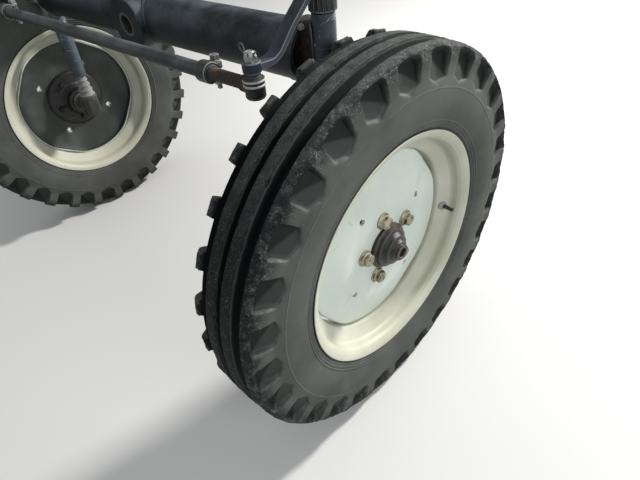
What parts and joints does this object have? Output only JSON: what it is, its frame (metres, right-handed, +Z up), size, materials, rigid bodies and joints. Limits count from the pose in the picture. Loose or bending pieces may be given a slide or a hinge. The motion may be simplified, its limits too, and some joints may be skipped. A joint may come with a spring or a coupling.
{
  "type": "steered tractor front axle with wheels",
  "caption": "Steered front axle of a vintage farm tractor: tube beam on a central pivot, kingpins, tie rod and ribbed tyres on disc wheels.",
  "frame": {"origin": "centre of the pivot bore at the middle of the beam", "axes": "+X along the beam to the left wheel, -Y forwards, +Z up"},
  "size_m": [1.494, 0.8003, 0.8947],
  "materials": {
    "beam_paint": "worn dark blue-black paint",
    "arm_paint": "worn dark blue paint with bare edges",
    "rusty_plate": "brown rust under the last of a dark paint",
    "black_forging": "oily black forging",
    "rusty_forging": "rusty forging with greasy dirt",
    "bright_steel": "bare steel, slightly stained",
    "pale_rubber": "dusty pale ribbed rubber",
    "black_rubber": "black rubber",
    "tyre": "weathered dark grey rubber, dusty in the hollows",
    "rim_paint": "cream paint, chalky, stained at the edges",
    "disc_paint": "pale grey-green paint",
    "zinc": "yellow zinc, slightly rusty"
  },
  "bodies": {
    "axle": {"beam": "beam_paint", "pivot_boss": "beam_paint", "pivot_bush": "bright_steel", "housing_left": "beam_paint", "housing_right": "beam_paint", "gusset_left": "rusty_plate", "gusset_right": "rusty_plate"},
    "knuckle_left": {"kingpin_left": "bright_steel", "stub_axle_left": "black_forging", "seal_boot_left": "pale_rubber", "thrust_ring_left": "black_forging", "steering_arm_left": "arm_paint", "kingpin_nut_left": "black_forging", "ball_stud_left": "bright_steel"},
    "knuckle_right": {"kingpin_right": "bright_steel", "stub_axle_right": "black_forging", "seal_boot_right": "pale_rubber", "thrust_ring_right": "black_forging", "steering_arm_right": "arm_paint", "kingpin_nut_right": "black_forging", "ball_stud_right": "bright_steel"},
    "tie_rod": {"tie_rod_tube": "arm_paint", "tie_end_left": "rusty_forging", "tie_end_right": "rusty_forging", "tie_clamp_left": "black_forging", "tie_clamp_right": "black_forging", "dust_cover_left": "bright_steel", "dust_cover_right": "bright_steel"},
    "wheel_left": {"tyre_left": "tyre", "rim_left": "rim_paint", "disc_left": "disc_paint", "hub_left": "black_forging", "hub_nose_left": "rusty_forging", "wheel_bolts_left": "zinc", "valve_left": "black_rubber"},
    "wheel_right": {"tyre_right": "tyre", "rim_right": "rim_paint", "disc_right": "disc_paint", "hub_right": "black_forging", "hub_nose_right": "rusty_forging", "wheel_bolts_right": "zinc", "valve_right": "black_rubber"}
  },
  "joints": [
    {"name": "steer_left", "type": "hinge", "parent": "axle", "child": "knuckle_left", "pos_m": [0.5405, 0, 0], "axis": [0, 0.0523, 0.9986], "range_deg": [-42.1, 47.9]},
    {"name": "steer_right", "type": "hinge", "parent": "axle", "child": "knuckle_right", "pos_m": [-0.5405, 0, 0], "axis": [0, 0.0523, 0.9986], "range_deg": [-42.1, 47.9]},
    {"name": "tie_rod_swing", "type": "hinge", "parent": "knuckle_left", "child": "tie_rod", "pos_m": [0.53241, -0.15968, 0.00637], "axis": [0, 0.0523, 0.9986], "range_deg": [-47.9, 42.1]},
    {"name": "wheel_spin_left", "type": "hinge", "parent": "knuckle_left", "child": "wheel_left", "pos_m": [0.65435, -0.02418, -0.35122], "axis": [0.9987, -0.0505, 0.0026], "continuous": true},
    {"name": "wheel_spin_right", "type": "hinge", "parent": "knuckle_right", "child": "wheel_right", "pos_m": [-0.65435, -0.01266, -0.35182], "axis": [0.9987, -0.0505, 0.0026], "continuous": true}
  ],
  "couplings": [
    {"joint": "steer_right", "follows": "steer_left", "ratio": 1},
    {"joint": "tie_rod_swing", "follows": "steer_left", "ratio": -1}
  ]
}
